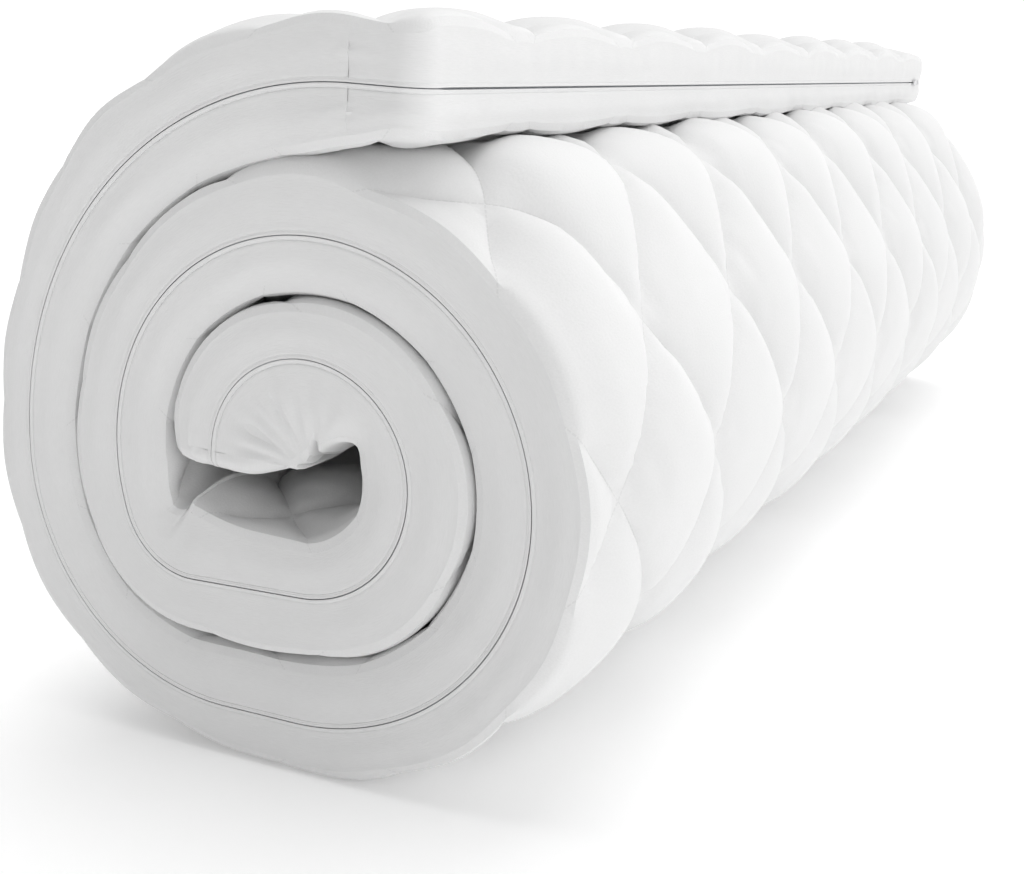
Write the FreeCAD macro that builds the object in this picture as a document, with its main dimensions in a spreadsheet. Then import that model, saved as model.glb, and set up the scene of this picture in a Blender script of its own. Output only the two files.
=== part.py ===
"""Pressure relief mattress: a quilted, zipped topper with a two-layer foam core, stored rolled up.

Millimetres, Z up. The roll lies on the floor with its axis along Y. The origin is the centre of the
roll's bounding box, on the floor.

The zip line halfway up the mattress is the path that everything follows. Seen along +Y, with X to the
right, the path starts at the inner end and goes clockwise through flats and bends. A level is a distance
from that path: the upper side of the mattress is the outside of the roll, and has positive levels.
"""
import FreeCAD, Part
import math
import os

import Sketcher
from FreeCAD import Placement, Rotation, Vector

SIZES = {
    # Mattress, laid flat
    "mattress_width": 1400,
    "outer_corner": 16,
    "inner_corner": 10,
    "flush": 0,
    # Levels of the layers' faces, measured from the zip line
    "face_level": 35,
    "wadding_level": 34,
    "backing_level": 28,
    "core_level": 27.5,
    "layer_joint_level": 2.5,
    "border_level": 2.5,
    "tape_level": 12,
    "coil_level": 2.2,
    "slit_level": 0.6,
    # Depths below the outer face of the border
    "border_depth": 1.2,
    "tape_depth": 1.8,
    "coil_face_depth": 0.2,
    "core_depth": 4,
    # Where the end borders meet the side borders, measured from each end
    "outer_setback": 40,
    "inner_setback": 12,
    "span_margin": 1,
    # The roll, from the inner end outwards
    "start_heading": 83.5,
    "inner_flat": 14,
    "core_radius": 69,
    "core_sweep": 174.5,
    "underside_radius": 78.5,
    "underside_sweep": 88,
    "base_flat": 81,
    "rise_radius": 50,
    "rise_sweep": 76,
    "middle_radius": 145,
    "middle_sweep": 218,
    "lower_radius": 165,
    "lower_sweep": 67,
    "floor_flat": 53,
    "side_radius": 148,
    "side_sweep": 91,
    "top_radius": 239,
    "top_sweep": 93,
    "outer_flat": 44,
    # Zip slider, on the outer end; depths are measured outwards from the border's face
    "slider_place": 650,
    "slider_length": 10,
    "slider_nose": 8,
    "slider_tail": 6,
    "plate_lift": 0.25,
    "plate_thickness": 1,
    "wing_lift": -3.4,
    "divider_width": 0.8,
    "divider_length": 3,
    "lug_height": 2.9,
    "lug_length": 2.6,
    "lug_thickness": 1,
    "lug_gap": 4,
    "pin_lift": 3.1,
    "pin_radius": 0.8,
    # Pull tab
    "eye_radius": 1.6,
    "eye_bore": 0.88,
    "eye_width": 3.6,
    "neck_length": 4,
    "tab_length": 22,
    "tab_width": 6,
    "tab_thickness": 1.4,
    # Stops at the closed end of the zip
    "stop_height": 0.7,
    "top_stop_place": 657,
    "top_stop_length": 3,
    "bottom_stop_place": 662,
    "bottom_stop_length": 4,
}

ROLL = [
    ("flat", "inner_flat"),
    ("bend", "core"),
    ("bend", "underside"),
    ("flat", "base_flat"),
    ("bend", "rise"),
    ("bend", "middle"),
    ("bend", "lower"),
    ("flat", "floor_flat"),
    ("bend", "side"),
    ("bend", "top"),
    ("flat", "outer_flat"),
]
UPPER = 1
LOWER = -1

doc = FreeCAD.newDocument("PressureReliefMattress")
sheet = doc.addObject("Spreadsheet::Sheet", "Sizes")
size = dict(SIZES)


def store(row, alias, value):
    """Put one driving dimension on the sheet."""
    sheet.set(f"A{row}", alias)
    sheet.set(f"B{row}", str(value))
    sheet.setAlias(f"B{row}", alias)


def tangent(heading):
    """Unit vector along the path."""
    return Vector(math.cos(heading), math.sin(heading), 0)


def outward(heading):
    """Unit vector from the path to the outside of the roll."""
    return Vector(-math.sin(heading), math.cos(heading), 0)


def surface(level, trim_inner, trim_outer):
    """Curves of one surface of a layer, in the plane across the roll, with the last point and heading."""
    heading = math.radians(size["start_heading"])
    point = Vector(size["start_x"], size["start_z"], 0)
    point += tangent(heading) * trim_inner + outward(heading) * level
    curves = []
    for index, (kind, name) in enumerate(ROLL):
        if kind == "flat":
            length = size[name]
            length -= trim_inner if index == 0 else 0
            length -= trim_outer if index == len(ROLL) - 1 else 0
            last = point + tangent(heading) * length
            curves.append(Part.LineSegment(point, last))
            point = last
            continue
        radius = size[name + "_radius"] + level
        centre = point - outward(heading) * radius
        turned = heading - math.radians(size[name + "_sweep"])
        quarter = math.pi / 2
        circle = Part.Circle(centre, Vector(0, 0, 1), radius)
        curves.append(Part.ArcOfCircle(circle, turned + quarter, heading + quarter))
        heading = turned
        point = centre + outward(heading) * radius
    return curves, point, heading


def place_roll():
    """Work out the path's start, so that the roll is centred on X = 0 and rests on Z = 0."""
    size["start_x"] = 0
    size["start_z"] = 0
    outside = Part.Shape(surface(size["face_level"], 0, 0)[0]).BoundBox
    size["start_x"] = -(outside.XMin + outside.XMax) / 2
    size["start_z"] = -outside.YMin


def end_frame(point, heading, way):
    """Placement at one end: X out of the mattress, Z towards its upper side."""
    along = tangent(heading) * way
    up = outward(heading)
    x_axis = Vector(along.x, 0, along.y)
    z_axis = Vector(up.x, 0, up.y)
    return Placement(Vector(point.x, 0, point.y), Rotation(x_axis, z_axis.cross(x_axis), z_axis, "ZXY"))


place_roll()
for row, (alias, value) in enumerate(size.items(), 1):
    store(row, alias, value)
doc.recompute()

_, last_point, last_heading = surface(0, 0, 0)
OUTER_END = end_frame(last_point, last_heading, 1)
INNER_END = end_frame(
    Vector(size["start_x"], size["start_z"], 0), math.radians(size["start_heading"]), -1
)


def origin_plane(body, role):
    """The body's own origin plane with this role."""
    return next(item for item in body.Origin.OriginFeatures if item.Role == role)


def chain_constraints(first, side, level, trim_inner, trim_outer):
    """Constraints of one surface of a layer, each with the formula that drives it, or None."""
    rules = []
    previous = None
    for index, (kind, name) in enumerate(ROLL):
        item = first + index
        begins, ends = (1, 2) if kind == "flat" else (2, 1)
        if previous:
            rules.append((Sketcher.Constraint("Tangent", *previous, item, begins), None))
        previous = (item, ends)
        if kind == "bend":
            radius = size[name + "_radius"] + side * size[level]
            formula = f"Sizes.{name}_radius + {side} * Sizes.{level}"
            rules.append((Sketcher.Constraint("Radius", item, radius), formula))
            sweep = math.radians(size[name + "_sweep"])
            rules.append((Sketcher.Constraint("Angle", item, sweep), f"Sizes.{name}_sweep * 1 deg"))
            continue
        length = size[name]
        formula = f"Sizes.{name}"
        if index == 0:
            length -= size[trim_inner]
            formula += f" - Sizes.{trim_inner}"
        if index == len(ROLL) - 1:
            length -= size[trim_outer]
            formula += f" - Sizes.{trim_outer}"
        rules.append((Sketcher.Constraint("Distance", item, length), formula))
    return rules


def band_sketch(body, side, low, high, trim_inner, trim_outer):
    """Section of a layer across the roll: two surfaces and the two ends."""
    sketch = body.newObject("Sketcher::SketchObject", body.Name + "_section")
    sketch.AttachmentSupport = [(origin_plane(body, "XZ_Plane"), "")]
    sketch.MapMode = "FlatFace"
    near, near_last, _ = surface(side * size[low], size[trim_inner], size[trim_outer])
    far, far_last, _ = surface(side * size[high], size[trim_inner], size[trim_outer])
    count = len(ROLL)
    inner_end = 2 * count
    outer_end = inner_end + 1
    ends = [
        Part.LineSegment(near[0].StartPoint, far[0].StartPoint),
        Part.LineSegment(near_last, far_last),
    ]
    sketch.addGeometry(near + far + ends, False)
    heading = math.radians(size["start_heading"])
    start = near[0].StartPoint
    shift = f"Sizes.{trim_inner}"
    level = f"{side} * Sizes.{low}"
    angle = "(Sizes.start_heading * 1 deg)"
    thickness = abs(size[high] - size[low])
    rules = [
        (
            Sketcher.Constraint("DistanceX", -1, 1, 0, 1, start.x),
            f"Sizes.start_x + {shift} * cos{angle} - {level} * sin{angle}",
        ),
        (
            Sketcher.Constraint("DistanceY", -1, 1, 0, 1, start.y),
            f"Sizes.start_z + {shift} * sin{angle} + {level} * cos{angle}",
        ),
        (Sketcher.Constraint("Angle", 0, heading), "Sizes.start_heading * 1 deg"),
        (Sketcher.Constraint("Coincident", inner_end, 1, 0, 1), None),
        (Sketcher.Constraint("Coincident", inner_end, 2, count, 1), None),
        (Sketcher.Constraint("Perpendicular", inner_end, 0), None),
        (Sketcher.Constraint("Perpendicular", inner_end, count), None),
        (Sketcher.Constraint("Distance", inner_end, thickness), f"abs(Sizes.{high} - Sizes.{low})"),
        (Sketcher.Constraint("Coincident", outer_end, 1, count - 1, 2), None),
        (Sketcher.Constraint("Coincident", outer_end, 2, 2 * count - 1, 2), None),
    ]
    rules += chain_constraints(0, side, low, trim_inner, trim_outer)
    rules += chain_constraints(count, side, high, trim_inner, trim_outer)
    sketch.addConstraint([rule for rule, _ in rules])
    for index, (_, formula) in enumerate(rules):
        if formula:
            sketch.setExpression(f"Constraints[{index}]", formula)
    return sketch


def pad_band(label, sketch, body, length):
    """Give a section its length along the roll, half to each side of the body's middle."""
    pad = body.newObject("PartDesign::Pad", label + "_pad")
    pad.Profile = sketch
    pad.SideType = "Symmetric"
    pad.setExpression("Length", length)
    sketch.Visibility = False
    doc.recompute()
    return pad


def corner_edges(shape, frame, trim):
    """Names of the upright corner edges at one end of a padded layer."""
    names = []
    for index, edge in enumerate(shape.Edges, 1):
        one, two = [frame.inverse().multVec(vertex.Point) for vertex in (edge.Vertexes * 2)[:2]]
        upright = abs(one.x - two.x) + abs(one.y - two.y) < 1e-5 and abs(one.z - two.z) > 1e-3
        if upright and abs(one.x + trim) < 1e-3:
            names.append(f"Edge{index}")
    return names


def slab(label, side, low, high, inset):
    """A layer over the whole mattress, this far inside its outline, with rounded corners."""
    body = doc.addObject("PartDesign::Body", label)
    sketch = band_sketch(body, side, low, high, inset, inset)
    feature = pad_band(label, sketch, body, f"Sizes.mattress_width - 2 * Sizes.{inset}")
    for end, frame in (("outer", OUTER_END), ("inner", INNER_END)):
        rounding = body.newObject("PartDesign::Fillet", f"{label}_{end}_corners")
        rounding.Base = (feature, corner_edges(feature.Shape, frame, size[inset]))
        rounding.setExpression("Radius", f"Sizes.{end}_corner - Sizes.{inset}")
        body.Tip = rounding
        doc.recompute()
        feature = rounding
    return body


def ring(label, side, low, high, outer_inset, inner_inset):
    """A strip that runs round all four sides of the mattress."""
    rim = doc.addObject("Part::Cut", label)
    rim.Base = slab(label + "_outside", side, low, high, outer_inset)
    rim.Tool = slab(label + "_inside", side, low, high, inner_inset)
    doc.recompute()
    return rim


def side_border(label, side, way):
    """The border along the front or back of the mattress, which shows as a spiral."""
    body = doc.addObject("PartDesign::Body", label)
    sketch = band_sketch(body, side, "border_level", "face_level", "inner_setback", "outer_setback")
    pad_band(label, sketch, body, "Sizes.border_depth")
    body.setExpression(
        "Placement.Base.y", f"{way} * (Sizes.mattress_width - Sizes.border_depth) / 2"
    )
    return body


def end_border(label, rim, frame, end):
    """The border round one end of the mattress and its two corners."""
    box = doc.addObject("Part::Box", label + "_span")
    box.setExpression("Length", f"Sizes.{end}_setback + Sizes.span_margin")
    box.setExpression("Width", "Sizes.mattress_width + 2 * Sizes.span_margin")
    box.setExpression("Height", "2 * Sizes.face_level")
    corner = Vector(
        -size[end + "_setback"],
        -size["mattress_width"] / 2 - size["span_margin"],
        -size["face_level"],
    )
    box.Placement = frame * Placement(corner, Rotation())
    strip = doc.addObject("Part::Common", label)
    strip.Base = rim
    strip.Tool = box
    return strip


def bar(label, sizes, corner):
    """A box from one corner, with each size driven by a formula."""
    box = doc.addObject("Part::Box", label)
    for name, formula in zip(("Length", "Width", "Height"), sizes):
        box.setExpression(name, formula)
    for axis, formula in zip("xyz", corner):
        box.setExpression(f"Placement.Base.{axis}", formula)
    return box


def cylinder(label, radius, height, corner):
    """A round bar across the zip."""
    rod = doc.addObject("Part::Cylinder", label)
    rod.setExpression("Radius", radius)
    rod.setExpression("Height", height)
    for axis, formula in zip("xyz", corner):
        rod.setExpression(f"Placement.Base.{axis}", formula)
    return rod


def plate(label, lift):
    """One of the slider's plates, wider at the nose than at the tail."""
    wedge = doc.addObject("Part::Wedge", label)
    formulas = {
        "Xmin": lift,
        "Xmax": f"{lift} + Sizes.plate_thickness",
        "X2min": lift,
        "X2max": f"{lift} + Sizes.plate_thickness",
        "Ymin": "-Sizes.slider_length / 2",
        "Ymax": "Sizes.slider_length / 2",
        "Zmin": "-Sizes.slider_tail / 2",
        "Zmax": "Sizes.slider_tail / 2",
        "Z2min": "-Sizes.slider_nose / 2",
        "Z2max": "Sizes.slider_nose / 2",
    }
    for name, formula in formulas.items():
        wedge.setExpression(name, formula)
    return wedge


def zip_slider():
    """Two plates joined by the divider, with a pin for the pull tab between two lugs."""
    top = "(Sizes.plate_lift + Sizes.plate_thickness)"
    pieces = [
        plate("slider_plate", "Sizes.plate_lift"),
        plate("slider_wing", "Sizes.wing_lift"),
        bar(
            "slider_divider",
            ("Sizes.plate_lift - Sizes.wing_lift", "Sizes.divider_length", "Sizes.divider_width"),
            (
                "Sizes.wing_lift",
                "Sizes.slider_length / 2 - Sizes.divider_length",
                "-Sizes.divider_width / 2",
            ),
        ),
        cylinder(
            "slider_pin",
            "Sizes.pin_radius",
            "Sizes.lug_gap + Sizes.lug_thickness",
            ("Sizes.pin_lift", "0", "-(Sizes.lug_gap + Sizes.lug_thickness) / 2"),
        ),
    ]
    for name, low in (
        ("slider_upper_lug", "Sizes.lug_gap / 2"),
        ("slider_lower_lug", "-Sizes.lug_gap / 2 - Sizes.lug_thickness"),
    ):
        sizes = ("Sizes.lug_height", "Sizes.lug_length", "Sizes.lug_thickness")
        pieces.append(bar(name, sizes, (top, "-Sizes.lug_length / 2", low)))
    slider = doc.addObject("Part::MultiFuse", "zip_slider")
    slider.Shapes = pieces
    slider.Placement = OUTER_END * Placement(Vector(0, size["slider_place"], 0), Rotation())
    return slider


def zip_pull_tab():
    """A flat tab with an eye, lying along the zip from the slider's pin."""
    half = "-Sizes.tab_thickness / 2"
    tip = doc.addObject("Part::Cylinder", "tab_tip")
    tip.setExpression("Radius", "Sizes.tab_width / 2")
    tip.setExpression("Height", "Sizes.tab_thickness")
    tip.Placement = Placement(
        Vector(-size["tab_thickness"] / 2, -size["tab_length"] + size["tab_width"] / 2, 0),
        Rotation(Vector(0, 1, 0), 90),
    )
    pieces = [
        cylinder("tab_eye", "Sizes.eye_radius", "Sizes.eye_width", ("0", "0", "-Sizes.eye_width / 2")),
        bar(
            "tab_neck",
            ("Sizes.tab_thickness", "Sizes.neck_length", "Sizes.eye_width"),
            (half, "-Sizes.neck_length", "-Sizes.eye_width / 2"),
        ),
        bar(
            "tab_blade",
            (
                "Sizes.tab_thickness",
                "Sizes.tab_length - Sizes.neck_length - Sizes.tab_width / 2",
                "Sizes.tab_width",
            ),
            (half, "-Sizes.tab_length + Sizes.tab_width / 2", "-Sizes.tab_width / 2"),
        ),
        tip,
    ]
    solid = doc.addObject("Part::MultiFuse", "tab_blank")
    solid.Shapes = pieces
    tab = doc.addObject("Part::Cut", "zip_pull_tab")
    tab.Base = solid
    tab.Tool = cylinder(
        "tab_bore", "Sizes.eye_bore", "2 * Sizes.eye_width", ("0", "0", "-Sizes.eye_width")
    )
    tab.Placement = OUTER_END * Placement(Vector(size["pin_lift"], size["slider_place"], 0), Rotation())
    return tab


def zip_stops():
    """Two top stops, one on each coil, and the bottom stop across both."""
    tooth = "(Sizes.coil_level - Sizes.slit_level)"
    pieces = []
    for name, low in (("upper_stop", "Sizes.slit_level"), ("lower_stop", "-Sizes.coil_level")):
        sizes = ("Sizes.stop_height", "Sizes.top_stop_length", tooth)
        pieces.append(bar(name, sizes, ("-Sizes.coil_face_depth", "Sizes.top_stop_place", low)))
    top = doc.addObject("Part::MultiFuse", "zip_top_stops")
    top.Shapes = pieces
    top.Placement = OUTER_END
    across = bar(
        "stop_block",
        ("Sizes.stop_height", "Sizes.bottom_stop_length", "2 * Sizes.coil_level"),
        ("-Sizes.coil_face_depth", "Sizes.bottom_stop_place", "-Sizes.coil_level"),
    )
    bottom = doc.addObject("Part::Compound", "zip_bottom_stop")
    bottom.Links = [across]
    bottom.Placement = OUTER_END
    return [top, bottom]


def build():
    """Make every sub-part and return them in the order of assembly."""
    parts = [
        slab("foam_pressure_layer", UPPER, "layer_joint_level", "core_level", "core_depth"),
        foam_support_layer(),
    ]
    for name, side in (("upper", UPPER), ("lower", LOWER)):
        parts += [
            slab(f"{name}_quilt_backing", side, "core_level", "backing_level", "border_depth"),
            slab(f"{name}_quilt_wadding", side, "backing_level", "wadding_level", "border_depth"),
            slab(f"{name}_quilt_face_fabric", side, "wadding_level", "face_level", "border_depth"),
            side_border(f"{name}_border_front", side, -1),
            side_border(f"{name}_border_back", side, 1),
        ]
        rim = ring(f"{name}_border_rim", side, "border_level", "face_level", "flush", "border_depth")
        for end, frame in (("outer", OUTER_END), ("inner", INNER_END)):
            parts.append(end_border(f"{name}_border_{end}_end", rim, frame, end))
        parts += [
            ring(f"{name}_zip_tape", side, "coil_level", "tape_level", "border_depth", "tape_depth"),
            ring(f"{name}_zip_coil", side, "slit_level", "coil_level", "coil_face_depth", "tape_depth"),
        ]
    return parts + [zip_slider(), zip_pull_tab()] + zip_stops()


def foam_support_layer():
    """The lower foam layer, glued under the pressure layer at the joint level."""
    lower = slab("support_below", LOWER, "flush", "core_level", "core_depth")
    upper = slab("support_above", UPPER, "flush", "layer_joint_level", "core_depth")
    layer = doc.addObject("Part::MultiFuse", "foam_support_layer")
    layer.Shapes = [lower, upper]
    layer.Refine = True
    return layer


def check(parts):
    """Stop if any object failed or any sub-part has no valid solid."""
    for item in doc.Objects:
        if "Invalid" in item.State or "Error" in item.State:
            raise RuntimeError(f"{item.Label}: {item.State}")
    for part in parts:
        if part.Shape.isNull() or not part.Shape.isValid() or not part.Shape.Solids:
            raise RuntimeError(f"{part.Label}: bad shape")


def main():
    parts = build()
    doc.recompute()
    check(parts)
    os.makedirs("parts", exist_ok=True)
    for part in parts:
        part.Shape.exportStep(f"parts/{part.Label}.step")
        print(f"{part.Label}: {len(part.Shape.Solids)} solid(s), {part.Shape.Volume:.1f} mm3")


main()
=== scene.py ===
"""Looks of a rolled, quilted pressure relief mattress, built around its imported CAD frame.

Everything follows the path of the zip line, which is seen here along +Y. A place on the mattress is
(s, y, w): s along the path from the inner end, y across the mattress, and w the level above the zip
line, which is positive towards the outside of the roll. Metres.
"""
import math

import bpy
import numpy as np
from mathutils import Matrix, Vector


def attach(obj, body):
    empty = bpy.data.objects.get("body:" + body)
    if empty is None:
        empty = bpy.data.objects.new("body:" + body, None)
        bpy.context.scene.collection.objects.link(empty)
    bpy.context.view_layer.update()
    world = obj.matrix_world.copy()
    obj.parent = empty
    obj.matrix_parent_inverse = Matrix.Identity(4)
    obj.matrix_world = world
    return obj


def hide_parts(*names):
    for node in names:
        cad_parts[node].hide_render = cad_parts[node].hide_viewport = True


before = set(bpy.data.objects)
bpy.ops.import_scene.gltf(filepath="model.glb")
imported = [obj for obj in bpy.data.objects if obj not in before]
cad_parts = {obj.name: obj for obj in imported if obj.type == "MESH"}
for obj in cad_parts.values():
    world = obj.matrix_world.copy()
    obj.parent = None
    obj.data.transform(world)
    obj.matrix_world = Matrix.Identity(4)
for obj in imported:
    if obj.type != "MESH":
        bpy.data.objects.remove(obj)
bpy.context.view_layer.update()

MM = 0.001
ROLL = (  # (size in mm, turn in degrees): a run's length where it doesn't turn, else its radius
    (14, 0), (69, 174.5), (78.5, 88), (81, 0), (50, 76), (145, 218),
    (165, 67), (53, 0), (148, 91), (239, 93), (44, 0),
)
ROLL_START = (-0.0347104, 0.1912421)
ROLL_HEADING = math.radians(83.5)
WIDTH = 1.4
FACE = 35 * MM  # level of the quilted face
BACK = 27.6 * MM  # level of the quilting's back, on the foam
EDGE = 7 * MM  # radius of the soft edge between a quilted face and a border
SPARE = EDGE * (math.pi / 2 - 1)  # fabric that the round edge takes over a square one
INNER_CORNER, OUTER_CORNER = 10.5 * MM, 16 * MM
INNER_SETBACK, OUTER_SETBACK = 12 * MM, 40 * MM

# Quilting: diamonds of two seams each way, on a grid of cells that the seams cross corner to corner
STEPS = 14  # cells to half a diamond
CELLS_S, CELLS_Y = 362, 247
FIRST_S, FIRST_Y = -154, -22  # the first cell's place in the pattern
SEAM, CROWN = -7.2 * MM, 7.3 * MM  # levels of seams and pillow tops, from the face
SEAM_WANDER = 4 * MM  # how far the seams stray from straight lines
PUFF_FRAMES = 24  # of the cloth simulation

# How the cover lies on the rolled foam
SLACK = (9 * MM, 14 * MM)  # standing off on the open side, at the front and at the back
SHOULDER = 22 * MM  # standing off beside the free end
PRESS, PRESS_TIP = 7 * MM, 9 * MM  # pressed into the foam, and at the inner tip
TUCK = 3.6 * MM  # how far the inward face's edge is drawn in at the front and back of the roll
GATHER, FOLD = 28 * MM, 1.3 * MM  # of the inward face where it bunches up in a tight bend

# The border's hem along the zip
HEM_SEAM = 2.6 * MM  # level of its stitching
LIP, LIP_MORE = 0.1 * MM, 0.22 * MM  # half the gap between the hems, and how much it varies
SLIDER_LIP = 0.62 * MM  # the same where the slider passes, clear of its divider


def smooth(x):
    """0 to 1 with no slope at either end."""
    x = np.clip(x, 0.0, 1.0)
    return x * x * (3 - 2 * x)


def roll_runs():
    """Start length, x, z, heading and curvature of each run of the path, and the path's length."""
    s, (x, z), heading = 0.0, ROLL_START, ROLL_HEADING
    runs = []
    for size, turn in ROLL:
        turn = math.radians(turn)
        length = size * MM * (turn or 1)
        curve = turn / length
        runs.append((s, x, z, heading, curve))
        if turn:
            end = heading - turn
            x += (math.sin(heading) - math.sin(end)) / curve
            z += (math.cos(end) - math.cos(heading)) / curve
            heading = end
        else:
            x += length * math.cos(heading)
            z += length * math.sin(heading)
        s += length
    return np.array(runs), s


RUNS, LENGTH = roll_runs()
STEP_S, STEP_Y = (LENGTH + 2 * SPARE) / CELLS_S, (WIDTH + 2 * SPARE) / CELLS_Y


def path(s):
    """x, z and heading of the zip line."""
    s = np.asarray(s, float)
    index = np.clip(np.searchsorted(RUNS[:, 0], s, side="right") - 1, 0, len(RUNS) - 1)
    start, x, z, heading, curve = np.moveaxis(RUNS[index], -1, 0)
    along = s - start
    turned = heading - along * curve
    bent = np.abs(curve) > 1e-9
    safe = np.where(bent, curve, 1.0)
    x = x + np.where(bent, (np.sin(heading) - np.sin(turned)) / safe, along * np.cos(heading))
    z = z + np.where(bent, (np.cos(turned) - np.cos(heading)) / safe, along * np.sin(heading))
    return x, z, turned


def place(s, y, w, along=0.0, across=0.0):
    """Points at a place on the mattress, moved by along (the path) and across (the width)."""
    x, z, heading = path(s)
    cos, sin = np.cos(heading), np.sin(heading)
    return np.stack(
        np.broadcast_arrays(x - w * sin + along * cos, y + across, z + w * cos + along * sin), axis=-1
    )


def room(at, side):
    """Highest levels that a face can reach at each s: half way to the next turn, and the floor."""
    s = np.linspace(0, LENGTH, 700)
    x, z, heading = path(s)
    nx, nz = -np.sin(heading) * side, np.cos(heading) * side
    t = np.linspace(0, LENGTH, 1600)
    tx, tz, _ = path(t)
    dx, dz = tx[None, :] - x[:, None], tz[None, :] - z[:, None]
    out = dx * nx[:, None] + dz * nz[:, None]
    off = dx * -nz[:, None] + dz * nx[:, None]
    crossing = (off[:, 1:] * off[:, :-1] <= 0) & (out[:, 1:] > 0.045) & (out[:, 1:] < 0.16)
    distance = np.where(crossing, out[:, 1:], 1.0).min(axis=1)
    above = np.where(nz < -0.05, (z - 0.6 * MM) / np.maximum(-nz, 0.05), 1.0)
    half = distance / 2 - 0.3 * MM
    return np.interp(at, s, half), np.interp(at, s, above)


def peak(x, middle, width):
    """1 at the middle, falling off to both sides."""
    return np.exp(-(((x - middle) / width) ** 2))


def soft_min(a, b, width):
    """The smaller of two values, rounded where they cross."""
    return -width * np.logaddexp(-a / width, -b / width)


def evened(values, cells):
    """Values averaged along their first axis, under a soft window of so many cells."""
    window = np.hanning(cells) / np.hanning(cells).sum()
    return np.apply_along_axis(np.convolve, 0, values, window, "same")


def wander(a, b, scale, seed):
    """Smooth seeded noise between about -1 and 1."""
    rng = np.random.default_rng(seed)
    total = np.zeros(np.broadcast(a, b).shape)
    for _ in range(6):
        turn, phase = rng.uniform(0, 2 * math.pi, 2)
        rate = 2 * math.pi / (scale * rng.uniform(0.7, 1.6))
        total += np.sin((a * math.cos(turn) + b * math.sin(turn)) * rate + phase)
    return total / 3


def make_piece(name, points, faces, uvs=None):
    """A mesh object from points and faces, with UV layers given per point."""
    mesh = bpy.data.meshes.new(name)
    mesh.from_pydata(points.tolist(), [], faces)
    mesh.update()
    corner = np.empty(len(mesh.loops), np.int32)
    mesh.loops.foreach_get("vertex_index", corner)
    for layer_name, values in (uvs or {}).items():
        layer = mesh.uv_layers.new(name=layer_name)
        layer.data.foreach_set("uv", np.asarray(values, np.float32)[corner].ravel())
    mesh.shade_smooth()
    mesh.set_sharp_from_angle(angle=math.radians(40))
    piece = bpy.data.objects.new(name, mesh)
    bpy.context.collection.objects.link(piece)
    return piece


def wound(corners, outwards):
    """A face's corners as plain numbers, turned round where it would look inwards."""
    corners = [int(corner) for corner in corners]
    return corners if outwards else corners[::-1]


def tube_faces(count, around, outwards):
    """Faces of a tube of so many rings of points, closed with a cap at each end."""
    number = np.arange(count * around).reshape(count, around)
    faces = []
    for a in range(count - 1):
        for b in range(around):
            c = (b + 1) % around
            quad = (number[a, b], number[a + 1, b], number[a + 1, c], number[a, c])
            faces.append(wound(quad, outwards))
    return faces + [wound(number[0], outwards), wound(number[-1][::-1], outwards)]


# ---------------------------------------------------------------- quilted panels


def wrap(along, across, inner):
    """Where a sheet of fabric lies that covers the mattress face and turns down round its edges.

    along and across are lengths on the fabric from its nearest end and side, and inner says where
    that end is the inner one. The result is in plan: insets from the end and side, the outward
    direction, the level and the turn of the edge.
    """
    corner = np.where(inner, INNER_CORNER, OUTER_CORNER)
    reach = corner + SPARE
    u = np.clip(1 - along / reach, 0, 1)
    v = np.clip(1 - across / reach, 0, 1)
    out_s, out_y = u * np.sqrt(1 - v * v / 2), v * np.sqrt(1 - u * u / 2)
    rho = np.hypot(out_s, out_y)
    from_edge = reach * (1 - rho)
    turn = np.minimum(from_edge / EDGE, math.pi / 2)
    left = corner - EDGE * (1 - np.cos(turn)) - np.maximum(from_edge - EDGE * math.pi / 2, 0)
    safe = np.maximum(rho, 1e-9)
    out_s, out_y = out_s / safe, out_y / safe
    inset_s = np.where(u > 0, corner - left * out_s, along - SPARE)
    inset_y = np.where(v > 0, corner - left * out_y, across - SPARE)
    return inset_s, inset_y, out_s, out_y, FACE - EDGE * (1 - np.sin(turn)), turn


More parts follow.
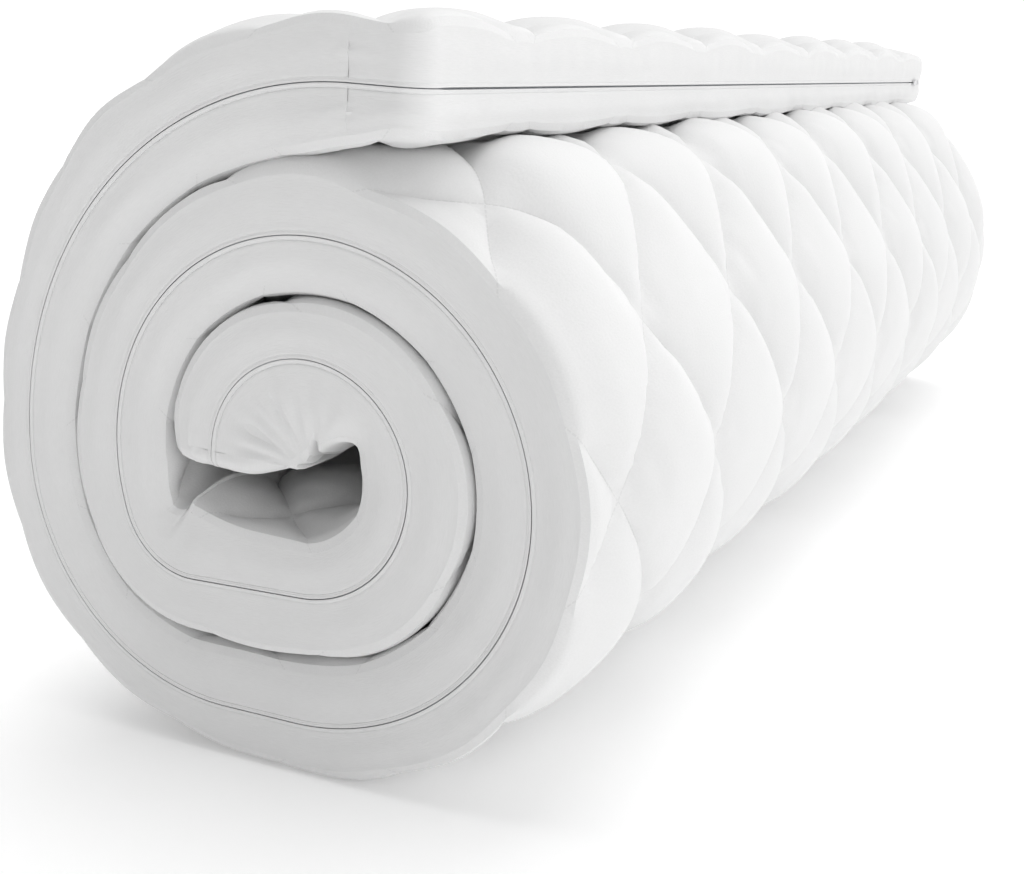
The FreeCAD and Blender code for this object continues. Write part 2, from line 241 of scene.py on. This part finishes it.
def blown_pillows(count, step_s, step_y):
    """Cloth simulation of single diamonds, held at their seams and blown up by the wadding.

    Returns how each vertex of each pillow moves along s, along y and upwards, where the height is in
    shares of the mean pillow's. A vertex is looked up by its cells from the two seams beside it.
    """
    span = range(-STEPS, STEPS + 1)
    local = [(i, j) for i in span for j in span if abs(i) + abs(j) <= STEPS]
    number = {corner: k for k, corner in enumerate(local)}
    cells = []
    for i, j in local:
        cell = [number[c] for c in ((i, j), (i + 1, j), (i + 1, j + 1), (i, j + 1)) if c in number]
        if len(cell) > 2:
            cells.append(cell)
        if (i - 1, j) in number and (i, j - 1) in number and (i - 1, j - 1) not in number:
            cells.append([number[i, j], number[i - 1, j], number[i, j - 1]])
    size = len(local)
    flat = np.zeros((count, size, 3))
    flat[:, :, :2] = np.array(local) * (step_s, step_y)
    flat[:, :, 0] += np.arange(count)[:, None] * 0.3
    start = flat.copy()
    held = np.array([abs(i) + abs(j) == STEPS for i, j in local])
    start[:, ~held, 2] = np.random.default_rng(5).normal(0, 0.05 * MM, (count, np.count_nonzero(~held)))
    mesh = bpy.data.meshes.new("pillows")
    faces = [[k * size + v for v in cell] for k in range(count) for cell in cells]
    mesh.from_pydata(start.reshape(-1, 3).tolist(), [], faces)
    patch = bpy.data.objects.new("pillows", mesh)
    bpy.context.collection.objects.link(patch)
    seams = patch.vertex_groups.new(name="seams")
    seams.add(np.flatnonzero(np.tile(held, count)).tolist(), 1.0, "REPLACE")
    spare = patch.vertex_groups.new(name="spare")
    for k in range(count):
        spare.add(list(range(k * size, (k + 1) * size)), (k + 0.5) / count, "REPLACE")

    puff = patch.modifiers.new("puff", "CLOTH")
    cloth = puff.settings
    cloth.quality = 6
    cloth.mass = 0.15
    cloth.air_damping = 2.0
    cloth.tension_stiffness = cloth.compression_stiffness = 15
    cloth.shear_stiffness = 5
    cloth.bending_stiffness = 5.0
    cloth.vertex_group_mass = "seams"
    cloth.vertex_group_shrink = "spare"
    cloth.shrink_min = -0.014
    cloth.shrink_max = -0.004
    cloth.use_pressure = True
    cloth.uniform_pressure_force = 20
    cloth.effector_weights.gravity = 0
    puff.point_cache.frame_start = 1
    puff.point_cache.frame_end = PUFF_FRAMES
    for step in range(1, PUFF_FRAMES + 1):
        bpy.context.scene.frame_set(step)
    blown = patch.evaluated_get(bpy.context.evaluated_depsgraph_get())
    moved = np.empty(count * size * 3)
    blown.data.vertices.foreach_get("co", moved)
    moved = moved.reshape(count, size, 3) - flat
    bpy.context.scene.frame_set(1)
    bpy.data.objects.remove(patch)
    bpy.data.meshes.remove(mesh)
    beside = np.array([
        [number.get((i + a, j + b), 0) for a, b in ((1, 0), (-1, 0), (0, 1), (0, -1))] for i, j in local
    ])
    for _ in range(2):
        moved[:, ~held] = (moved[:, ~held] + moved[:, beside[~held]].mean(axis=2)) / 2
    tall = moved[:, :, 2] / moved[:, number[0, 0], 2].mean()
    moved[:, :, 2] = np.sign(tall) * np.abs(tall) ** 0.64
    table = np.zeros((count, 2 * STEPS + 1, 2 * STEPS + 1, 3))
    for k, (i, j) in enumerate(local):
        table[:, i + j + STEPS, j - i + STEPS] = moved[:, k]
    return table


def pillow_moves(i, j, table, seed):
    """How the pillows move the vertices of a panel: along s, along y, and the height's share."""
    a, b = i + j - STEPS, j - i - STEPS
    side = 2 * STEPS
    kinds = np.random.default_rng(seed).integers(0, len(table), (64, 64))
    kind = kinds[(a // side) % 64, (b // side) % 64]
    return np.moveaxis(table[kind, a % side, b % side], -1, 0)


def slack(s, y, side):
    """How far the cover stands off the foam where nothing presses on it, on the roll's open side."""
    if side < 0:
        return np.zeros(np.broadcast(s, y).shape)
    open_side = smooth((s - 0.56) / 0.2) * smooth((1.2 - s) / 0.2)
    shoulder = SHOULDER * peak(s, 0.835, 0.045)
    depth = y + WIDTH / 2
    held = smooth(depth / 0.09) * smooth((WIDTH - depth) / 0.12)
    return open_side * held * (SLACK[0] + (SLACK[1] - SLACK[0]) * depth / WIDTH + shoulder)


def tucked(s, side):
    """How far the edge of the face towards the roll's middle is drawn in from the front and back."""
    if side > 0:
        return np.zeros(np.shape(s))
    return TUCK * smooth((s - 0.03) / 0.06) * smooth((LENGTH - 0.06 - s) / 0.06)


def bunched(s, y):
    """Folds of the face towards the roll's middle, where a tight bend presses it together."""
    first_bend = smooth((s - 0.02) / 0.04) * smooth((0.24 - s) / 0.05)
    next_bend = smooth((s - 0.42) / 0.03) * smooth((0.52 - s) / 0.03)
    fold = wander(s, y * 0.12, 0.014, 91) * (0.6 + 0.4 * wander(s, y, 0.08, 92))
    return FOLD * (first_bend + next_bend) * fold


def gathered(s, y):
    """How far the cover stands off into the innermost bends at the front, where it is bunched up."""
    depth = y + WIDTH / 2
    first_bend = GATHER * smooth((0.185 - s) / 0.06) * peak(depth, 0, 0.16)
    crease = 14 * MM * peak(s, 0.128, 0.011) * peak(depth, 0.01, 0.035)
    pillow = 12 * MM * peak(s, 0.37, 0.04) * peak(depth, 0.075, 0.05)
    next_bend = 15 * MM * peak(s, 0.435, 0.035) * peak(depth, 0, 0.12)
    return first_bend - crease + pillow + next_bend


def lifted(s, y, side):
    """How far the bunched part of the inner end is drawn up along the path."""
    return gathered(s, y) * smooth(1 - s / 0.1) * (0.5 if side < 0 else 0.0)


def pressed(s, side):
    """How far a face is pressed into the foam: round the outer turn, at the tip and the free end."""
    if side < 0:
        return PRESS * smooth((s - 1.86) / 0.07)
    round_turn = PRESS * smooth((s - 1.2367) / 0.1) * smooth((1.72 - s) / 0.12)
    return round_turn + PRESS_TIP * smooth(1 - s / 0.035)


def fabric_places(i, j, side, table):
    """Where the grid's corners lie on the flat fabric, and the pillows' height there."""
    s, y = i * STEP_S, j * STEP_Y
    to_end = np.minimum(s, CELLS_S * STEP_S - s)
    other_side = CELLS_Y * STEP_Y - y
    near_side = smooth(np.minimum(y, other_side) / 0.05)
    near_end = smooth(to_end / 0.12)
    skew = 0.025 * y * smooth(other_side / 0.25)
    skew = skew + SEAM_WANDER * wander(s, y, 0.3, 11 + side) * near_side
    s = s + skew * near_end
    y = y + SEAM_WANDER * wander(s, y, 0.3, 21 + side) * near_side * near_end
    pull_s, pull_y, height = pillow_moves(i + FIRST_S, j + FIRST_Y, table, 31 + side)
    return s + pull_s * near_end, y + pull_y * near_side, height


def edge_share(distance, at_edge, width):
    """A share that is at_edge on the edge of a panel and rises to 1 within a width of it."""
    return at_edge + (1 - at_edge) * smooth(distance / width)


def pillow_levels(height, s, y, along, across, side):
    """Levels of the pillows over the plain face, with their bunches and folds."""
    kept = edge_share(across, 0.4, 45 * MM)
    kept = np.minimum(kept, edge_share(along, 0.4 if side > 0 else 0.15, 45 * MM))
    puff = (SEAM + (CROWN - SEAM) * height) * kept
    even = evened(puff, 15)
    puff = even + (puff - even) * smooth(0.12 + across / (20 * MM))
    if side > 0:
        fuller = 1 + 0.5 * smooth((s - 1.55) / 0.2)  # on top of the free end
        return np.where(puff > 0, puff * fuller, puff)
    return puff * edge_share(across, 0.4, 30 * MM) + bunched(s, y) + gathered(s, y)


def level_limits(s, across, side):
    """The face's highest level, and how far it swells to close a narrow gap to the next turn."""
    to_turn, to_floor = room(s, side)
    gap = to_turn[:, CELLS_Y // 2]
    swell = np.where(gap < 0.045, np.clip(gap - FACE, 0, 5 * MM), 0.0)
    if side > 0:
        to_turn = to_turn + 1.5 * MM * (1 - smooth(across / (20 * MM)))
        under_end = smooth((s - 0.68) / 0.06) * (s < 0.9) * (to_turn < 0.06)
        to_turn = to_turn + under_end * np.maximum(to_turn - 34 * MM, 0)
    return np.minimum(to_turn, to_floor), evened(swell, 9)[:, None]


def quilted_faces(number, side):
    """Faces of the quilted surface, whose cells are split where a seam crosses them."""
    i, j = np.meshgrid(np.arange(CELLS_S), np.arange(CELLS_Y), indexing="ij")
    seam_a = (i + j + 1 + FIRST_S + FIRST_Y) % (2 * STEPS) == STEPS
    seam_b = (j - i + FIRST_Y - FIRST_S) % (2 * STEPS) == STEPS
    faces = []
    for row, column in zip(i.ravel(), j.ravel()):
        near, far = number[row, column: column + 2], number[row + 1, column: column + 2]
        corners = wound((near[0], far[0], far[1], near[1]), side > 0)
        if seam_b[row, column] or seam_a[row, column]:
            k = corners.index(near[0] if seam_b[row, column] else far[0])
            corners = corners[k:] + corners[:k]
            faces += [corners[:3], [corners[0], corners[2], corners[3]]]
        else:
            faces.append(corners)
    return faces


def quilted_panel(name, side, table):
    """One quilted face of the cover: fabric, wadding and backing, turned down round the edges.

    Returns the piece and its rim, where the borders join it.
    """
    i, j = np.meshgrid(np.arange(CELLS_S + 1), np.arange(CELLS_Y + 1), indexing="ij")
    fabric_s, fabric_y, height = fabric_places(i, j, side, table)
    inner, front = i * 2 < CELLS_S, j * 2 < CELLS_Y
    along = np.where(inner, fabric_s, CELLS_S * STEP_S - fabric_s)
    across = np.where(front, fabric_y, CELLS_Y * STEP_Y - fabric_y)
    inset_s, inset_y, out_s, out_y, level, turn = wrap(along, across, inner)
    s = np.where(inner, inset_s, LENGTH - inset_s)
    y = np.where(front, inset_y - WIDTH / 2, WIDTH / 2 - inset_y)
    out_s, out_y = np.where(inner, -out_s, out_s), np.where(front, -out_y, out_y)

    puff = pillow_levels(height, s, y, along, across, side)
    lift = lifted(s, y, side)
    tuck = tucked(s, side) * (1 - smooth(across / (50 * MM)))
    y = np.where(front, y + tuck, y - tuck)
    top, swell = level_limits(s, across, side)
    level = level + puff + slack(s, y, side) - pressed(s, side) + swell
    level = soft_min(level, top - EDGE * (1 - np.sin(turn)), 0.8 * MM)
    points = place(s + lift, y, level * side)
    rows, columns = points.shape[:2]
    number = np.arange(rows * columns).reshape(rows, columns)
    faces = quilted_faces(number, side)

    # The edge turned under, ring by ring, from the inner end's front corner
    edge = [(r, 0) for r in range(rows)] + [(rows - 1, c) for c in range(1, columns)]
    edge += [(r, columns - 1) for r in range(rows - 2, -1, -1)]
    edge += [(0, c) for c in range(columns - 2, 0, -1)]
    at = tuple(np.array(edge).T)
    rim = {"s": s[at], "y": y[at], "out_s": out_s[at], "out_y": out_y[at], "level": level[at]}
    rim["tuck"] = tucked(rim["s"], side) * np.abs(rim["out_y"])
    rim["lift"] = lift[at]
    rim["loose"] = gathered(rim["s"], rim["y"]) * (side < 0) / GATHER
    back = BACK - pressed(rim["s"], side)
    under = np.minimum(rim["level"], back - 1.1 * MM)
    loops, sheets = [number[at]], [points.reshape(-1, 3)]
    for inset, height in ((1.2, rim["level"]), (3.0, under), (3.6, back), (10, back)):
        inset_s, inset_y = inset * MM * rim["out_s"], inset * MM * rim["out_y"]
        sheets.append(place(rim["s"] + rim["lift"] - inset_s, rim["y"] - inset_y, height * side))
        loops.append(rows * columns + len(edge) * (len(loops) - 1) + np.arange(len(edge)))
    for outer, inside in zip(loops, loops[1:]):
        for quad in zip(outer, inside, np.roll(inside, -1), np.roll(outer, -1)):
            faces.append(wound(quad, side > 0))

    # The back, in bands across the width and one face at each rounded end
    last = loops[-1]
    flat_in = int(np.argmax(along[:, 0] >= INNER_CORNER + SPARE))
    flat_out = CELLS_S - int(np.argmax(along[::-1, 0] >= OUTER_CORNER + SPARE))
    last_back = 2 * rows + columns - 3  # the back side's vertices run down from here
    for row in range(flat_in, flat_out):
        far = last_back - row
        faces.append(wound((last[row], last[far], last[far - 1], last[row + 1]), side > 0))
    inner_loop = np.concatenate([last[last_back - flat_in:], last[: flat_in + 1]])
    outer_loop = last[flat_out: last_back + 1 - flat_out]
    faces += [wound(loop[::-1], side > 0) for loop in (inner_loop, outer_loop)]

    points = np.concatenate(sheets)
    flat_uv = np.zeros((len(points), 2))
    flat_uv[: rows * columns] = np.stack([fabric_s, fabric_y], -1).reshape(-1, 2)
    q, p = (i + FIRST_S) / STEPS, (j + FIRST_Y) / STEPS
    pattern = np.full((len(points), 2), 0.5)
    pattern[: rows * columns] = np.stack([(p + q - 1) / 2, (p - q - 1) / 2], -1).reshape(-1, 2)
    return make_piece(name, points, faces, {"Fabric": flat_uv, "Quilting": pattern}), rim


# ---------------------------------------------------------------- borders


def halved(values):
    """The values with their midpoints put in between."""
    result = np.empty(2 * len(values) - 1)
    result[::2] = values
    result[1::2] = (values[1:] + values[:-1]) / 2
    return result


def rim_part(rim, kind):
    """The stretch of a panel's rim that one border strip joins."""
    s, y = rim["s"], rim["y"]
    if kind == "front":
        here = (s >= INNER_SETBACK) & (s <= LENGTH - OUTER_SETBACK) & (y < 0)
    elif kind == "back":
        here = (s >= INNER_SETBACK) & (s <= LENGTH - OUTER_SETBACK) & (y > 0)
    elif kind == "outer":
        here = s >= LENGTH - OUTER_SETBACK
    else:
        here = s <= INNER_SETBACK
    # one vertex more at each end of an end strip, so that the strips meet
    index = np.flatnonzero(here)
    if kind == "inner":
        split = int(np.argmax(np.diff(index))) + 1
        index = np.concatenate([index[split:], index[:split]])
    if kind in ("inner", "outer"):
        index = np.concatenate([[index[0] - 1], index, [index[-1] + 1]])
    part = {key: halved(values[index]) for key, values in rim.items()}
    size = np.hypot(part["out_s"], part["out_y"])
    part["out_s"], part["out_y"] = part["out_s"] / size, part["out_y"] / size
    steps = np.hypot(np.diff(part["s"]), np.diff(part["y"]))
    part["t"] = np.concatenate([[0], np.cumsum(steps)])
    return part


def border_lines(part, kind, side):
    """The strip's cross-section all along it: each line's offset outwards and level over the zip."""
    t, top = part["t"], part["level"]
    from_end = np.minimum(t, t[-1] - t)
    seam = 0.5 * MM * (1 - smooth(from_end / (4 * MM)))
    pucker = 0.55 * MM * np.exp(-from_end / (15 * MM))
    seed = {"front": 50, "back": 60, "outer": 70, "inner": 80}[kind] + side
    crease_depth = (0.35 if kind in ("outer", "inner") else 0.12) * MM
    ditch_depth = (0.4 if side > 0 else 0.9) * MM
    lip = LIP + LIP_MORE * smooth(0.5 + 0.8 * wander(part["s"], part["y"], 0.5, 45))
    if kind == "outer":
        lip = np.maximum(lip, SLIDER_LIP * smooth((0.69 - np.abs(part["y"])) / 0.02))

    # The hem, with the ditch of its seam
    lines = [(-0.1 * MM, lip + 0.15 * MM), (0.0, lip), (0.15 * MM, lip + 0.05 * MM)]
    near_zip = np.array([0.5, 1.0, 1.7, 2.2, 2.6, 3.0, 3.6, 5.0]) * MM
    for k, w in enumerate(near_zip):
        hem = 0.2 * MM * (1 - smooth(w / (4 * MM))) - ditch_depth * peak(w, HEM_SEAM, 0.4 * MM)
        level = np.maximum(w, lip + 0.1 * MM * (k + 1))
        lines.append((hem - seam * smooth(w / (5 * MM)), level))

    # The fabric up to the quilted panel, and back down behind it
    first = near_zip[-1]
    for h in np.linspace(0, 1, 12)[1:]:
        w = first + (top - first) * h
        wave = wander(t, w * 2, 0.1, seed) * 0.35 * MM + 0.9 * MM
        crease = wander(t, w * 0.3, 0.028, seed + 5) * crease_depth
        gather = np.sin(w / MM * 0.9 + 3 * wander(t, w, 0.02, seed + 7)) * pucker
        fold = wander(t, w * 0.25, 0.02, seed + 9) * 1.7 * MM * part["loose"]
        swell = math.sin(math.pi * h) ** 2
        off = (wave + crease + gather + fold) * swell - seam * math.cos(math.pi * h / 2) ** 0.5
        lines.append((off, w))
    for h in (1.0, 0.7, 0.4, 0.15):
        w = first + (top - first) * h
        lines.append((1.0 * MM * math.sin(math.pi * h) ** 2 - 1.2 * MM, w))
    return lines + [(-1.2 * MM, 3.2 * MM), (-0.1 * MM, 2.7 * MM)]


def border(name, kind, side, rim):
    """One strip of border fabric, from the zip to the quilted panel, and its length."""
    part = rim_part(rim, kind)
    t, lines = part["t"], border_lines(part, kind, side)
    ring = []
    for off, w in lines:
        share = np.minimum(w / part["level"], 1) ** 2
        off = off + part["tuck"] * (1 - share)
        s = part["s"] + part["lift"] * share
        ring.append(place(s, part["y"], w * side, off * part["out_s"], off * part["out_y"]))
    points = np.stack(ring, axis=1)
    faces = tube_faces(len(t), len(lines), side > 0)
    levels = np.stack([np.broadcast_to(w, t.shape) for _, w in lines], axis=1)
    uv = np.stack([np.broadcast_to(t[:, None], levels.shape), levels * side], -1).reshape(-1, 2)
    return make_piece(name, points.reshape(-1, 3), faces, {"Fabric": uv}), t[-1]


def foam_layer(name, side, joint):
    """One layer of the foam core, from the glued joint out to the cover's backing."""
    inset, soft = 4.2 * MM, 2.5 * MM
    near_end = np.array([0, 1, 3, 6, 10]) * MM
    s = np.concatenate([near_end[:4], np.linspace(0.012, LENGTH - 0.016, 420), LENGTH - near_end[::-1]])
    s = inset + s * (LENGTH - 2 * inset) / LENGTH
    corner = np.where(s < LENGTH / 2, INNER_CORNER, OUTER_CORNER) - inset
    from_end = np.minimum(s, LENGTH - s) - inset
    short = np.clip(1 - from_end / corner, 0, 1)
    half = WIDTH / 2 - inset - corner * (1 - np.sqrt(1 - short * short))
    top = BACK - 0.6 * MM - pressed(s, side)
    # Round the layer: share of the half width, step inwards, and drop from the top, None at the joint
    flat = list(np.linspace(-0.9, 0.9, 13))
    corner_line = [(0.0, -soft), (0.3 * soft, -0.3 * soft), (soft, 0.0)]
    outline = [(-1.0, 0.0, None)] + [(-1.0, *step) for step in corner_line]
    outline += [(share, 0.0, 0.0) for share in flat] + [(1.0, *step) for step in corner_line[::-1]]
    outline += [(share, 0.0, None) for share in [1.0] + flat[::-1]]
    rows = []
    for share, inwards, drop in outline:
        if drop is None:
            rows.append(place(s, share * half, joint))
        else:
            inwards = math.copysign(1, share) * (inwards + tucked(s, side))
            rows.append(place(s, share * half - inwards, side * (top + drop)))
    points = np.stack(rows, axis=1)
    faces = tube_faces(len(s), len(outline), side > 0)
    uv = np.stack([points[..., 1], np.broadcast_to(s[:, None], points.shape[:2])], -1).reshape(-1, 2)
    return make_piece(name, points.reshape(-1, 3), faces, {"Fabric": uv})


# ---------------------------------------------------------------- materials


def new_material(name):
    """A material, its node tree and its shader."""
    material = bpy.data.materials.new(name)
    material.use_nodes = True
    tree = material.node_tree
    shader = tree.nodes["Principled BSDF"]
    return material, tree, shader


def add(tree, kind, **settings):
    """One more node in a tree."""
    node = tree.nodes.new(kind)
    for key, value in settings.items():
        setattr(node, key, value)
    return node


def maths(tree, operation, first, second=None, third=None):
    """One Math node fed by links or numbers; returns its output."""
    node = add(tree, "ShaderNodeMath", operation=operation)
    for socket, value in zip(node.inputs, (first, second, third)):
        if isinstance(value, (int, float)):
            socket.default_value = value
        elif value is not None:
            tree.links.new(value, socket)
    return node.outputs["Value"]


def stitches(tree):
    """1 on the thread of the quilting seams, from the Quilting layer, whose seams are whole numbers."""
    uv = add(tree, "ShaderNodeUVMap", uv_map="Quilting")
    axes = add(tree, "ShaderNodeSeparateXYZ")
    tree.links.new(uv.outputs["UV"], axes.inputs["Vector"])
    threads = []
    for across, along in (("X", "Y"), ("Y", "X")):
        away = maths(tree, "PINGPONG", axes.outputs[across], 0.5)
        near = maths(tree, "LESS_THAN", away, 0.0042)
        run = maths(tree, "PINGPONG", maths(tree, "MULTIPLY", axes.outputs[along], 34.0), 0.5)
        threads.append(maths(tree, "MULTIPLY", near, maths(tree, "GREATER_THAN", run, 0.14)))
    return maths(tree, "MAXIMUM", threads[0], threads[1])


def fabric_material(name, colour, knit, stitched=False):
    """Knitted polyester: knit is (stretch along, stretch across) of the streaks in 1/m."""
    material, tree, shader = new_material(name)
    uv = add(tree, "ShaderNodeUVMap", uv_map="Fabric")
    mapping = add(tree, "ShaderNodeMapping")
    mapping.inputs["Scale"].default_value = (*knit, 1)
    tree.links.new(uv.outputs["UV"], mapping.inputs["Vector"])
    noise = add(tree, "ShaderNodeTexNoise")
    noise.inputs["Scale"].default_value = 1.0
    noise.inputs["Detail"].default_value = 3.0
    tree.links.new(mapping.outputs["Vector"], noise.inputs["Vector"])
    ramp = add(tree, "ShaderNodeValToRGB")
    ramp.color_ramp.elements[0].position = 0.3
    ramp.color_ramp.elements[1].position = 0.7
    ramp.color_ramp.elements[0].color = tuple(c * 0.97 for c in colour) + (1,)
    ramp.color_ramp.elements[1].color = tuple(colour) + (1,)
    tree.links.new(noise.outputs["Fac"], ramp.inputs["Fac"])

    # Slight unevenness of the cloth over a few centimetres
    uneven = add(tree, "ShaderNodeTexNoise")
    uneven.inputs["Scale"].default_value = 22.0
    uneven.inputs["Detail"].default_value = 3.0
    tree.links.new(uv.outputs["UV"], uneven.inputs["Vector"])
    shade = add(tree, "ShaderNodeMix", data_type="RGBA", blend_type="MULTIPLY")
    shade.inputs["Factor"].default_value = 1.0
    tone = add(tree, "ShaderNodeMapRange")
    tone.inputs["From Min"].default_value = 0.3
    tone.inputs["From Max"].default_value = 0.7
    tone.inputs["To Min"].default_value = 0.975
    tone.inputs["To Max"].default_value = 1.0
    tree.links.new(uneven.outputs["Fac"], tone.inputs["Value"])
    tree.links.new(ramp.outputs["Color"], shade.inputs["A"])
    tree.links.new(tone.outputs["Result"], shade.inputs["B"])
    finished = shade.outputs["Result"]
    height = noise.outputs["Fac"]
    if stitched:
        thread = stitches(tree)
        sewn = add(tree, "ShaderNodeMix", data_type="RGBA")
        sewn.inputs["B"].default_value = tuple(c * 0.9 for c in colour) + (1,)
        tree.links.new(thread, sewn.inputs["Factor"])
        tree.links.new(finished, sewn.inputs["A"])
        finished = sewn.outputs["Result"]
        height = maths(tree, "MULTIPLY_ADD", thread, 0.8, height)
    tree.links.new(finished, shader.inputs["Base Color"])
    bump = add(tree, "ShaderNodeBump")
    bump.inputs["Strength"].default_value = 0.35
    bump.inputs["Distance"].default_value = 0.0005
    tree.links.new(height, bump.inputs["Height"])
    tree.links.new(bump.outputs["Normal"], shader.inputs["Normal"])
    rough = maths(tree, "MULTIPLY_ADD", uneven.outputs["Fac"], 0.1, 0.85)
    tree.links.new(rough, shader.inputs["Roughness"])
    shader.inputs["Sheen Weight"].default_value = 0.15
    shader.inputs["Sheen Roughness"].default_value = 0.5
    return material


def plain_material(name, colour, rough, metallic=0.0, scale=900.0):
    """Moulded or woven part: fine procedural variation in object space."""
    material, tree, shader = new_material(name)
    where = add(tree, "ShaderNodeTexCoord")
    noise = add(tree, "ShaderNodeTexNoise")
    noise.inputs["Scale"].default_value = scale
    noise.inputs["Detail"].default_value = 2.0
    tree.links.new(where.outputs["Object"], noise.inputs["Vector"])
    ramp = add(tree, "ShaderNodeValToRGB")
    ramp.color_ramp.elements[0].color = tuple(c * 0.9 for c in colour) + (1,)
    ramp.color_ramp.elements[1].color = tuple(colour) + (1,)
    tree.links.new(noise.outputs["Fac"], ramp.inputs["Fac"])
    tree.links.new(ramp.outputs["Color"], shader.inputs["Base Color"])
    bump = add(tree, "ShaderNodeBump")
    bump.inputs["Strength"].default_value = 0.2
    bump.inputs["Distance"].default_value = 0.0002
    tree.links.new(noise.outputs["Fac"], bump.inputs["Height"])
    tree.links.new(bump.outputs["Normal"], shader.inputs["Normal"])
    shader.inputs["Roughness"].default_value = rough
    shader.inputs["Metallic"].default_value = metallic
    return material


quilt_cloth = fabric_material("QuiltedKnit", (0.78, 0.78, 0.78), (1100.0, 500.0), stitched=True)
border_cloth = fabric_material("BorderKnit", (0.78, 0.78, 0.78), (160.0, 1300.0))
tape_look = plain_material("ZipTape", (0.74, 0.74, 0.75), 0.8)
coil_look = plain_material("ZipCoil", (0.78, 0.78, 0.79), 0.45)
metal_look = plain_material("ZipEnamel", (0.66, 0.66, 0.67), 0.3)

pillows = blown_pillows(24, STEP_S, STEP_Y)
for label, side in (("upper", 1), ("lower", -1)):
    panel, rim = quilted_panel(f"quilted_panel_{label}", side, pillows)
    panel.data.materials.append(quilt_cloth)
    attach(panel, "root")
    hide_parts(f"{label}_quilt_face_fabric", f"{label}_quilt_wadding", f"{label}_quilt_backing")
    for kind, node in (
        ("front", "border_front"), ("back", "border_back"),
        ("outer", "border_outer_end"), ("inner", "border_inner_end"),
    ):
        strip, length = border(f"border_strip_{kind}_{label}", kind, side, rim)
        strip.data.materials.append(border_cloth)
        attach(strip, "root")
        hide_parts(f"{label}_{node}")

pressure_foam = plain_material("PressureFoam", (0.85, 0.8, 0.66), 0.9)
support_foam = plain_material("SupportFoam", (0.74, 0.77, 0.8), 0.9)
for label, side, look in (("pressure", 1, pressure_foam), ("support", -1, support_foam)):
    core = foam_layer(f"{label}_foam_core", side, (2.5 + 0.02 * side) * MM)
    core.data.materials.append(look)
    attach(core, "root")
    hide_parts(f"foam_{label}_layer")

for node, look in (
    ("upper_zip_tape", tape_look), ("lower_zip_tape", tape_look),
    ("upper_zip_coil", coil_look), ("lower_zip_coil", coil_look),
    ("zip_slider", metal_look), ("zip_pull_tab", metal_look),
    ("zip_top_stops", coil_look), ("zip_bottom_stop", coil_look),
):
    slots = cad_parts[node].data.materials
    slots.clear()
    slots.append(look)

# ---------------------------------------------------------------- stage, light and camera

reach = 40.0
floor_mesh = bpy.data.meshes.new("studio_floor")
floor_mesh.from_pydata(
    [(-reach, -reach, 0), (reach, -reach, 0), (reach, reach, 0), (-reach, reach, 0)], [], [(0, 1, 2, 3)]
)
floor = bpy.data.objects.new("studio_floor", floor_mesh)
bpy.context.collection.objects.link(floor)
floor_look = plain_material("StudioFloor", (0.97, 0.97, 0.97), 0.9, scale=3.0)
floor_shader = floor_look.node_tree.nodes["Principled BSDF"]
floor_shader.inputs["Emission Color"].default_value = (1, 1, 1, 1)
floor_shader.inputs["Emission Strength"].default_value = 0.15
floor.data.materials.append(floor_look)

# A white horizon, and above it a sky that is brighter towards +X and +Y than behind the camera
world = bpy.data.worlds.new("Studio")
bpy.context.scene.world = world
world.use_nodes = True
tree = world.node_tree
background = tree.nodes["Background"]
where = add(tree, "ShaderNodeTexCoord")
split = add(tree, "ShaderNodeSeparateXYZ")
ramp = add(tree, "ShaderNodeMapRange")
ramp.inputs["From Min"].default_value = 0.05
ramp.inputs["From Max"].default_value = 0.15
ramp.inputs["To Min"].default_value = 1.1
tree.links.new(where.outputs["Generated"], split.inputs["Vector"])
tree.links.new(split.outputs["Z"], ramp.inputs["Value"])
deep = maths(tree, "MULTIPLY_ADD", maths(tree, "MINIMUM", split.outputs["Y"], 0.25), 0.58, 0.8)
lean = maths(tree, "MULTIPLY_ADD", split.outputs["X"], 0.5, deep)
tree.links.new(maths(tree, "MINIMUM", lean, 1.2), ramp.inputs["To Max"])
tree.links.new(ramp.outputs["Result"], background.inputs["Strength"])
background.inputs["Color"].default_value = (1, 1, 1, 1)

sun = bpy.data.lights.new("key", "SUN")
sun.energy = 1.4
sun.angle = math.radians(60)
key = bpy.data.objects.new("key", sun)
bpy.context.collection.objects.link(key)
key.rotation_euler = Vector((-0.12, 0.26, 0.92)).to_track_quat("Z", "Y").to_euler()

camera_data = bpy.data.cameras.new("camera")
camera_data.lens = 48.12
camera_data.sensor_width = 36
camera = bpy.data.objects.new("camera", camera_data)
bpy.context.collection.objects.link(camera)
camera.location = (0.4862, -1.3359, 0.4220)
yaw, pitch = 0.46098, 0.256088
forward = Vector((-math.sin(yaw) * math.cos(pitch), math.cos(yaw) * math.cos(pitch), -math.sin(pitch)))
camera.rotation_euler = forward.to_track_quat("-Z", "Y").to_euler()
bpy.context.scene.camera = camera
bpy.context.scene.view_settings.view_transform = "Standard"
